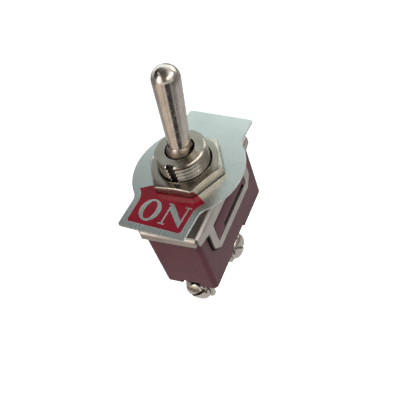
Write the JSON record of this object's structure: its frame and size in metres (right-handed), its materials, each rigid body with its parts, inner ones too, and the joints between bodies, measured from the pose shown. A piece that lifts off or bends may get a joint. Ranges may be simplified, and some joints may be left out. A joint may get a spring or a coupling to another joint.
{
  "type": "panel toggle switch",
  "caption": "Toggle switch with a threaded bushing, a bent steel frame over a moulded base, a tilting lever, a label plate and screw terminals.",
  "frame": {"origin": "on the bushing's axis, at the top face of the steel frame, where the switch seats against the back of a panel", "axes": "+Z along the bushing, out of the panel; -X towards the keyway, the end terminal and the lettered tail of the label plate; -Y towards the side terminal"},
  "size_m": [0.0376, 0.027, 0.0589],
  "materials": {
    "phenolic": "moulded maroon phenolic, semi-gloss",
    "frame_steel": "nickel-plated sheet steel",
    "plated_brass": "nickel-plated turned brass",
    "card": "fibre card",
    "plated_steel": "nickel-plated steel",
    "label_aluminium": "satin aluminium",
    "red_enamel": "glossy dark red enamel",
    "terminal_brass": "tinned brass",
    "bare_brass": "bare stamped brass",
    "silver": "silver contact",
    "lever_plating": "nickel-plated turned brass, polished",
    "pin_steel": "ground steel",
    "spring_steel": "spring wire",
    "nylon": "natural nylon"
  },
  "bodies": {
    "housing": {"base": "phenolic", "frame": "frame_steel", "bushing": "plated_brass", "insulating_card": "card", "rear_nut": "plated_brass", "lock_washer": "plated_steel", "label_plate": "label_aluminium", "label_enamel": "red_enamel", "panel_nut": "plated_brass", "end_terminal": "terminal_brass", "fixed_contact": "silver", "end_washer": "plated_steel", "end_screw": "plated_steel", "side_terminal": "terminal_brass", "cradle": "bare_brass", "cradle_rivet": "bare_brass", "side_washer": "plated_steel", "side_screw": "plated_steel"},
    "lever": {"lever": "lever_plating", "pivot_pin": "pin_steel", "lever_spring": "spring_steel"},
    "plunger": {"plunger": "nylon"},
    "rocker": {"rocker": "bare_brass", "moving_contact": "silver"}
  },
  "joints": [
    {"name": "lever_tilt", "type": "hinge", "parent": "housing", "child": "lever", "pos_m": [0, 0, 0.01], "axis": [0, 1, 0], "range_deg": [-30, 0]},
    {"name": "rocker_rock", "type": "hinge", "parent": "housing", "child": "rocker", "pos_m": [0, 0, -0.01375], "axis": [0, 1, 0], "range_deg": [0, 16]},
    {"name": "plunger_slide", "type": "slide", "parent": "lever", "child": "plunger", "axis": [0.2588, 0, 0.9659], "range_m": [0, 0.0005], "stiffness_N_per_m": 400, "springref_m": -0.002, "deforming": ["lever_spring"]}
  ],
  "couplings": [
    {"joint": "rocker_rock", "follows": "lever_tilt", "ratio": -0.53333}
  ]
}
